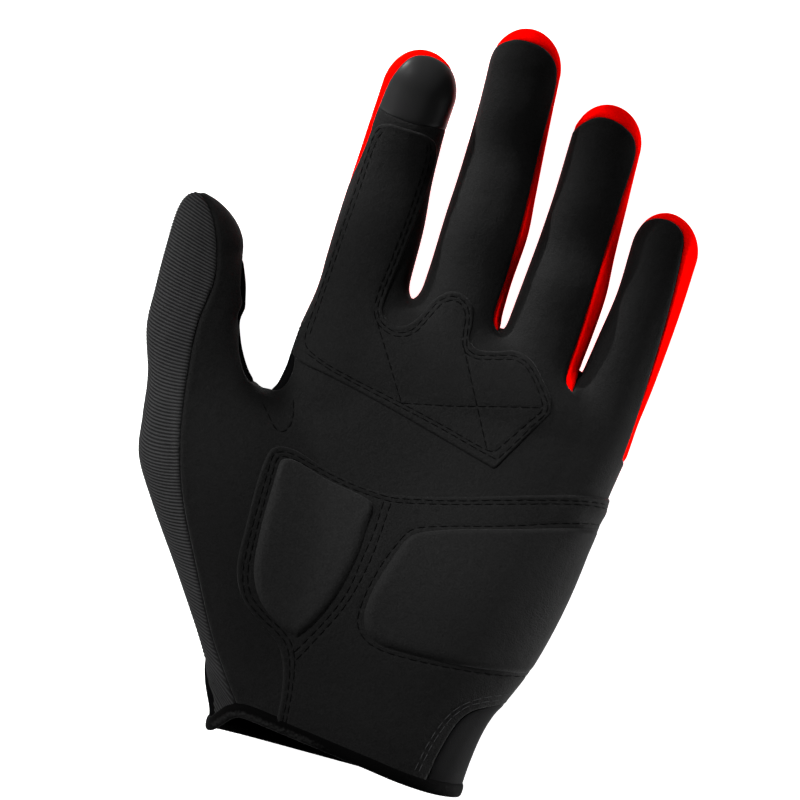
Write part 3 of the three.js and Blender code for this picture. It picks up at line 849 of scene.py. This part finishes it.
def painted_fold_shade(material):
    """Painted shade: 1 over most of the glove, and less in the fold by the thumb."""
    fold = node(material, "ShaderNodeVectorMath", {0: object_place(material), 1: FOLD}, operation="DISTANCE")
    inputs = {"Value": fold.outputs["Value"], "From Min": FOLD_FROM * MM, "From Max": FOLD_TO * MM}
    inputs.update({"To Min": FOLD_SHADE, "To Max": 1})
    return node(material, "ShaderNodeMapRange", inputs, interpolation_type="SMOOTHSTEP").outputs["Result"]


def scale_colour(material, shader, factor):
    colour = shader.inputs["Base Color"].links[0].from_socket
    scaled = node(material, "ShaderNodeVectorMath", {0: colour, "Scale": factor}, operation="SCALE")
    material.node_tree.links.new(scaled.outputs["Vector"], shader.inputs["Base Color"])


def leather(name, tone, specular):
    """Matt leather; tone is how much light it sends back. Painted shade makes it darker in the fold by the
    thumb.
    """
    material, shader = base_material(name, grey(tone), 0.7, specular)
    add_sheen(shader)
    grain = maths(material, "ADD", noise(material, GRAIN, 2.0, 0.6), noise(material, CREASE))
    add_bump(material, shader, grain, GRAIN_DEPTH)
    painted_shade = painted_fold_shade(material)
    factor = maths(material, "MULTIPLY", noise(material, GRAIN), painted_shade)
    add_tone(material, shader, factor, grey(tone * (1 - TONE_RANGE)), grey(tone * (1 + TONE_RANGE)))
    scale_colour(material, shader, painted_shade)
    return material


def cloth(name, colour, roughness, specular, lump, depth, detail=2.0):
    """An even material with lumps of this size and depth, in millimetres."""
    material, shader = base_material(name, colour, roughness, specular)
    add_bump(material, shader, noise(material, lump, detail), depth)
    return material, shader


def ribbed():
    """Rib knit: painted highlight on the ridges and painted shade in the valleys between them, by the mesh's
    own rib value.
    """
    material, shader = cloth("rib", (0.02, 0.02, 0.021), 0.8, 0.01, 0.35, 0.04)
    rib = node(material, "ShaderNodeAttribute", attribute_name="rib").outputs["Fac"]
    add_tone(material, shader, rib, (0.007, 0.007, 0.0071), (0.029, 0.029, 0.0295), 0.2, 1.0)
    return material


def stretch():
    material, shader = cloth("stretch", (0.0021, 0.0021, 0.0022), 0.65, 0.01, 0.4, 0.05)
    add_sheen(shader)
    return material


def red_stretch():
    material, shader = cloth("red_stretch", (0.86, 0.0, 0.0), 0.9, 0.0, 0.5, 0.06)
    add_tone(material, shader, noise(material, 0.6), (0.78, 0.0, 0.0), (0.92, 0.001, 0.0))
    return material


def binding():
    """Black edging, its face made paler and mottled over the thumb's end of the cuff by a painted highlight.
    """
    material, shader = cloth("binding", grey(0.002), 0.7, 0.01, 0.7, 0.1, 3.0)
    painted_highlight = node(material, "ShaderNodeAttribute", attribute_name="painted_highlight").outputs["Fac"]
    mottled_highlight = maths(material, "MULTIPLY", noise(material, 0.8, 3.0, 0.6), painted_highlight)
    add_tone(material, shader, mottled_highlight, grey(0.0008), grey(0.011))
    return material


def thread(name, colour):
    return cloth(name, colour, 0.8, 0.0, 0.25, 0.03, 1.0)[0]


# Heights of the panels over the skin

CAP_SEAM = (123, 127)  # places along Y between which the palm comes up to the glossy cap
CAP_RIGHT = -8
HEEL_TOP = 32  # place along Y where the heel's layer is sewn in at the side of the hand
HEEL_SIDE = (58, 62)
HEEL_BULGE = 0.7


def side_fade(out, least):
    """Layers are thinner where they wrap over the side of the hand."""
    return least + (1 - least) * ramp(out[:, 2], 0, 0.7)


def seam_only(points, away, out):
    return seam_profile(away) * side_fade(out, 0.4)


def flush_seam(points, away, out):
    """A panel that lies level with its neighbours, with hardly a groove between them."""
    return -FLUSH_DEPTH * hill(away, 0, 0.4)


def gusset_height(points, away, out):
    """Level with the layer on the heel at their seam, and down on the skin away from it."""
    return (OVERLAY_RISE - 0.05) * (1 - ramp(away, 0, 5)) + flush_seam(points, away, out)


def palm_height(points, away, out):
    """The palm's leather, its seam shallower under the glossy cap."""
    under_cap = ramp(points[:, 1], *CAP_SEAM) * (points[:, 0] < CAP_RIGHT)
    raised = seam_profile(away) * (1 - 0.7 * under_cap) * side_fade(out, 0.8)
    return raised + channels(PALM_STITCHES)(points)


def heel_height(points, away, out):
    """The heel's layer, thicker where its top edge is sewn in at the side of the hand."""
    bulge = HEEL_BULGE * hill(points[:, 1], HEEL_TOP, 3.2) * ramp(points[:, 0], *HEEL_SIDE)
    return layer_height(HEEL_STITCHES)(points, away, out) + bulge


def layer_height(lines):
    """A stitched-on layer with its stitch channels."""
    pressed = channels(lines)
    return lambda points, away, out: sheet_profile(away) * side_fade(out, 0.8) + pressed(points)


def near_lines(mesh, lines, reach):
    """Close to a panel's border or to a stitch line on it."""
    rim = border_samples(*mesh)
    plan = np.concatenate([flat(curve(line)) for line in lines] + [np.zeros((0, 3))])
    return lambda points: (distance(points, rim) < reach) | (distance(flat(points), plan) < STITCH_REACH)


def pad_height(sharp):
    """A pad's crown: soft shoulders, and a steep one along the sharp stretch."""
    steep = flat(curve(sharp, 0.4))

    def height(points, away, out):
        softness = ramp(distance(flat(points), steep), 1, 7)
        shoulder = SHARP_SHOULDER + (SOFT_SHOULDER - SHARP_SHOULDER) * softness
        crown = 1 - (1 - np.clip(away / shoulder, 0, 1)) ** 3
        return (OVERLAY_RISE - PAD_SINK + (PAD_RISE + PAD_SINK) * crown) * side_fade(out, 0.2)

    return height


# The glove's panels

LEATHER = leather("leather", 0.0053, 0.01)
# The pads' leathers are lighter copies of the leather: painted light on the pads' faces.
LIT_PAD_LEATHER = leather("pad_leather", 0.0060, 0.012)
LIT_THENAR_LEATHER = leather("lit_thenar_leather", 0.0082, 0.012)
GLOSS, _ = cloth("gloss_tip", (0.0078, 0.0078, 0.0079), 0.34, 0.03, 0.5, 0.02)
# The back's knit is a darker copy of the stretch fabric: painted shade on the back of the hand, which faces
# down.
BACK, _ = cloth("shaded_back_knit", (0.0015, 0.0015, 0.0016), 0.85, 0.0, 0.5, 0.05)
LINING, _ = base_material("lining", grey(0.0002), 0.9, 0.0)
RIB, STRETCH, RED = ribbed(), stretch(), red_stretch()
whole, _ = parted(*skin(0, GRID), past_cuff)
palm_zone = both(inside(PALM), above(SEAM_HEIGHT))
gusset_mesh, whole = parted(*whole, both(inside(GUSSET), above(SEAM_HEIGHT)))
front_mesh, rest = parted(*whole, palm_zone)
tip_mesh, palm_mesh = parted(*front_mesh, inside(TIP_CAP))
hand_mesh, fingers_mesh = parted(*rest, left_of(KNUCKLE_LINE))
thumb_mesh, hand_mesh = parted(*hand_mesh, both(left_of(THUMB_SEAM), above_wrist_seam, reach=0.5))
index_mesh, fingers_mesh = parted(*fingers_mesh, left_of(FINGER_GAPS[0]))
middle_mesh, fingers_mesh = parted(*fingers_mesh, left_of(FINGER_GAPS[1]))
ring_mesh, little_mesh = parted(*fingers_mesh, left_of(FINGER_GAPS[2]))

palm_overlay_zone = both(inside(PALM_OVERLAY), above(OVERLAY_LOW), reach=0.5)
heel_overlay_zone = both(inside(HEEL_OVERLAY), above(OVERLAY_LOW), reach=0.5)
thenar_zone = inside(THENAR_PAD)
hypothenar_zone = both(inside(HYPOTHENAR_PAD), above(PAD_LOW), reach=0.5)
palm_overlay_mesh, _ = parted(*front_mesh, palm_overlay_zone)
heel_overlay_mesh, _ = parted(*front_mesh, heel_overlay_zone)
thenar_mesh, _ = parted(*heel_overlay_mesh, thenar_zone)
hypothenar_mesh, _ = parted(*heel_overlay_mesh, hypothenar_zone)

PANELS = [
    ("palm", palm_mesh, LEATHER, "leather", PALM_STITCHES, palm_height),
    ("index_tip", tip_mesh, GLOSS, "gloss_tip", [], flush_seam),
    ("wrist_gusset", gusset_mesh, STRETCH, "stretch", [], gusset_height),
    ("hand_back", hand_mesh, BACK, "stretch", [], seam_only),
    ("index_back", index_mesh, RED, "red_stretch", [], seam_only),
    ("middle_back", middle_mesh, RED, "red_stretch", [], seam_only),
    ("ring_back", ring_mesh, RED, "red_stretch", [], seam_only),
    ("little_back", little_mesh, RED, "red_stretch", [], seam_only),
    ("palm_overlay", palm_overlay_mesh, LEATHER, "leather", PALM_OVERLAY_STITCHES,
     layer_height(PALM_OVERLAY_STITCHES)),
    ("heel_overlay", heel_overlay_mesh, LEATHER, "leather", HEEL_STITCHES, heel_height),
    ("thenar_pad", thenar_mesh, LIT_THENAR_LEATHER, "leather", [], pad_height(THENAR_TOP)),
    ("hypothenar_pad", hypothenar_mesh, LIT_PAD_LEATHER, "leather", [], pad_height(HYPOTHENAR_TOP)),
]
for name, mesh, material, slot, lines, height in PANELS:
    is_pad = name.endswith("_pad")
    near = near_lines(mesh, lines, PAD_REACH if is_pad else SEAM_REACH)
    piece = panel(name, mesh, material, near, height)

# Ribbed side of the thumb

RIB_MIDDLE = [
    (-35, -72), (-35, -50), (-42, -38), (-50, -22), (-59, -4), (-64, 6), (-68, 20), (-71, 40), (-73, 60),
    (-76, 85), (-77, 100),
]
# Place along the thumb, slope of the rib on the palm's side and its lean down the thumb's side, in degrees.
RIB_TURNS = [
    (-72, -50, 0), (-52, -48, 0), (-45, -38, 2), (-38, -18, 7), (-30, -5, 14), (-22, 12, 22), (-14, 27, 31),
    (-4, 35, 36), (6, 32, 35), (16, 31, 38), (26, 24, 34), (36, 17, 30), (46, 2, 18), (56, -4, 14),
    (64, -7, 12), (70, -11, 9), (76, -14, 6), (82, -17, 3), (90, -22, 0), (110, -25, 0),
]
RIB_TOP = 28.0
RIB_WRIST = (-50, -10)  # places along Y between which the knit's painted highlight grows towards the thumb
RIB_WRIST_SHADE = 0.22


def rib_phase(points, rounds=14):
    """Which rib a point lies on, as a length along the thumb."""
    middle, turns = np.array(RIB_MIDDLE, float), np.array(RIB_TURNS, float)
    y = points[:, 1]
    for _ in range(rounds):
        x_middle = np.interp(y, middle[:, 1], middle[:, 0])
        slope = np.tan(np.radians(np.interp(y, turns[:, 0], turns[:, 1])))
        lean = np.tan(np.radians(np.interp(y, turns[:, 0], turns[:, 2])))
        target = points[:, 1] - (points[:, 0] - x_middle) * slope - (RIB_TOP - points[:, 2]) * lean
        y = 0.5 * y + 0.5 * target
    return y


def ribbed_panel(name, mesh, material):
    """The rib knit: a mesh line on each crest and in each valley."""
    points, tris = mesh
    for wave, turn in ((np.sin, math.pi / 2), (np.cos, math.pi / 2), (np.cos, math.pi)):
        points, tris, _ = cut(points, tris, lambda p: wave(rib_phase(p) * turn / RIB_PITCH), 0.0)
    points, tris = compact(onto_form(points, 0, 1), tris)
    out = normals(points)
    ridge = (np.cos(2 * math.pi * rib_phase(points) / RIB_PITCH) + 1) / 2
    away = distance(points, border_samples(points, tris))
    height = seam_profile(away) * side_fade(out, 0.3) + RIB_DEPTH * (ridge - 1) * ramp(away, 0, 0.8)
    piece = sewn(name, points, tris, height, out, material)
    # The rib value paints light and shade: painted highlight on the crests, painted shade in the valleys,
    # along the seam and towards the wrist.
    values = np.zeros(len(piece.data.vertices))
    at_wrist = 1 - ramp(points[:, 1], *RIB_WRIST)
    values[: len(points)] = ridge * ramp(away, 0, 0.5) * (1 - RIB_WRIST_SHADE * at_wrist)
    piece.data.attributes.new("rib", "FLOAT", "POINT").data.foreach_set("value", values)


ribbed_panel("thumb_back", thumb_mesh, RIB)

# Inside face of the panels, seen through the open cuff

inner_mesh, _ = parted(*skin(-WALL, INSIDE_GRID), past_cuff)
inner = make_mesh("inside_face", inner_mesh[0], inner_mesh[1][:, ::-1], LINING)

# Bound edge of the cuff


def cuff_loop(count=360, farthest=60.0, rounds=30):
    """Closed line round the cuff's edge on the skin, found by halving along rays from the middle."""
    turn = np.arange(count) * 2 * math.pi / count
    near, far = np.zeros(count), np.full(count, farthest)
    aim = np.stack([np.cos(turn), 0 * turn, np.sin(turn)], axis=1)
    for _ in range(rounds):
        middle = (near + far) / 2
        p = np.array(CUFF_CENTRE) + aim * middle[:, None]
        p[:, 1] = cuff_y(p)
        within = form(p) < 0
        near = np.where(within, middle, near)
        far = np.where(within, far, middle)
    closed = np.concatenate([p, p[:1]])
    where = np.linspace(0, lengths_along(closed)[-1], count, endpoint=False)
    return onto_form(at_lengths(closed, where), 0, 2)


def cuff_roll(name, node_name, path, section, material):
    """A roll along a closed path on the skin; section is rows of (out, along) offsets from the path."""
    ahead = np.roll(path, -1, axis=0) - np.roll(path, 1, axis=0)
    ahead = ahead / np.linalg.norm(ahead, axis=1)[:, None]
    out = normals(path)
    side = np.cross(ahead, out)
    ring = path[:, None] + out[:, None] * section[:, :1] + side[:, None] * section[:, 1:]
    number = np.arange(ring.shape[0] * ring.shape[1]).reshape(ring.shape[:2])
    following = np.roll(number, -1, axis=1)
    a, b, c, d = number, following, np.roll(number, -1, axis=0), np.roll(following, -1, axis=0)
    tris = np.concatenate([np.stack([a, c, d], 2).reshape(-1, 3), np.stack([a, d, b], 2).reshape(-1, 3)])
    piece = make_mesh(name, ring.reshape(-1, 3), tris, material)
    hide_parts(node_name)
    return piece


def roll_section(half_out, half_along, sides=20, power=2.6):
    turn = np.arange(sides) * 2 * math.pi / sides
    c, s = np.cos(turn), np.sin(turn)
    size = (np.abs(c) ** power + np.abs(s) ** power) ** (-1 / power)
    return np.stack([c * size * half_out - ROLL_SINK, s * size * half_along], axis=1)


def painted_highlight_face(path, section):
    """How much painted highlight the roll gets at each of its points: on its outer half, over the thumb's
    end of the cuff.
    """
    x, z = path[:, 0], path[:, 2]
    thumb_end = ramp(x, 14, -8) * ramp(x, -36, -32) * ramp(z, 13, 18)
    return (thumb_end[:, None] * ramp(section[:, 1], 0.9, -0.7)).ravel()


loop = cuff_loop()
roll = roll_section(*CUFF_ROLL)
bound = cuff_roll("cuff_binding_roll", "cuff_binding", loop, roll, binding())
# Painted highlight on the binding's outer face over the thumb's end of the cuff.
bound.data.attributes.new("painted_highlight", "FLOAT", "POINT").data.foreach_set("value", painted_highlight_face(loop, roll))

# Stitching


def joined(names):
    """The named panels' finished meshes as one thing to drop lines on."""
    points, tris, base = [], [], 0
    for name in names:
        points.append(shown[name][0])
        tris.append(shown[name][1] + base)
        base += len(shown[name][0])
    return BVHTree.FromPolygons(np.concatenate(points).tolist(), np.concatenate(tris).tolist())


FRONT = joined(["palm", "index_tip", "wrist_gusset", "palm_overlay", "heel_overlay"])
BLACK_THREAD = thread("black_thread", grey(0.001))
GREY_THREAD = thread("grey_thread", (0.018, 0.018, 0.0185))
stitches("palm_overlay_stitching", PALM_OVERLAY_STITCHES, FRONT, BLACK_THREAD)
stitches("heel_stitching", HEEL_STITCHES, FRONT, BLACK_THREAD)
stitches("thumb_crotch_stitching", PALM_STITCHES, FRONT, BLACK_THREAD)
stitches("gusset_stitching", GUSSET_STITCHES, FRONT, GREY_THREAD)

# Floor, light and camera

TURN = math.radians(15.3)  # the glove lies turned clockwise by this much in the picture
VIEW_CENTRE = Vector((-4.6, 48.5, 15)) * MM
VIEW_WIDTH = 240 * MM
CAMERA_HEIGHT = 1.6
SENSOR = 36.0
FLOOR_HALF = 4.0
FLOOR_GAP = 0.0002
FLOOR_GLOW = 1.02  # makes the floor as white as the picture's ground
WORLD_LIGHT = 0.02
LAMP_AIM = (0, 0.05, 0.01)


def add_floor():
    mesh = bpy.data.meshes.new("floor")
    corners = [(x * FLOOR_HALF, y * FLOOR_HALF, 0) for x, y in ((-1, -1), (1, -1), (1, 1), (-1, 1))]
    mesh.from_pydata(corners, [], [(0, 1, 2, 3)])
    material, shader = base_material("floor", (0.9, 0.9, 0.9), 0.9, 0.1)
    shader.inputs["Emission Color"].default_value = (1, 1, 1, 1)
    shader.inputs["Emission Strength"].default_value = FLOOR_GLOW
    mesh.materials.append(material)
    floor = bpy.data.objects.new("floor", mesh)
    bpy.context.scene.collection.objects.link(floor)
    floor.location.z = -FLOOR_GAP


def hang(name, lamp, place, target):
    """Puts a lamp at place from its target, (right, up, height) in the picture's directions and metres."""
    made = bpy.data.objects.new(name, lamp)
    made.location = Matrix.Rotation(TURN, 3, "Z") @ Vector(place) + Vector(target)
    made.rotation_euler = (Vector(target) - made.location).to_track_quat("-Z", "Y").to_euler()
    bpy.context.scene.collection.objects.link(made)


def add_lamp(name, place, power, size, target=LAMP_AIM):
    """Area lamp of a width and a height."""
    lamp = bpy.data.lights.new(name, "AREA")
    lamp.shape = "RECTANGLE"
    lamp.size, lamp.size_y = size
    lamp.energy = power
    hang(name, lamp, place, target)


def add_spot(name, place, power, radius, angle, target):
    """Round lamp whose light fades out from its beam's middle; angle is the whole beam's, in degrees."""
    lamp = bpy.data.lights.new(name, "SPOT")
    lamp.shadow_soft_size = radius
    lamp.energy = power
    lamp.spot_size = math.radians(angle)
    lamp.spot_blend = 1.0
    hang(name, lamp, place, target)


def add_camera():
    lens = bpy.data.cameras.new("camera")
    lens.sensor_width = SENSOR
    lens.lens = SENSOR * CAMERA_HEIGHT / VIEW_WIDTH
    camera = bpy.data.objects.new("camera", lens)
    camera.location = VIEW_CENTRE + Vector((0, 0, CAMERA_HEIGHT))
    camera.rotation_euler = (0, 0, TURN)
    bpy.context.scene.collection.objects.link(camera)
    bpy.context.scene.camera = camera


add_floor()
add_camera()
add_lamp("left_strip", (-0.8, 0.15, 0.10), 11, (0.12, 0.8))
add_lamp("right_strip", (0.8, -0.3, 0.07), 6, (0.1, 0.8))
add_spot("palm_spot", (-0.42, 0.95, 0.8), 190, 0.06, 8.6, (0.025, 0.010, 0.02))
add_spot("left_spot", (-0.95, 0.42, 0.8), 45, 0.06, 10, (0.022, 0.02, 0.02))
add_lamp("side_strip", (0.111, -0.067, -0.0095), 0.85, (0.12, 0.004), (0.064, 0.016, 0.012))
add_spot("tip_spot", (-0.50, 0.88, 0.17), 360, 0.03, 3.6, (-0.026, 0.142, 0.015))
world = bpy.context.scene.world or bpy.data.worlds.new("world")
bpy.context.scene.world = world
world.use_nodes = True
world.node_tree.nodes["Background"].inputs["Color"].default_value = (1, 1, 1, 1)
world.node_tree.nodes["Background"].inputs["Strength"].default_value = WORLD_LIGHT
bpy.context.scene.view_settings.view_transform = "Standard"
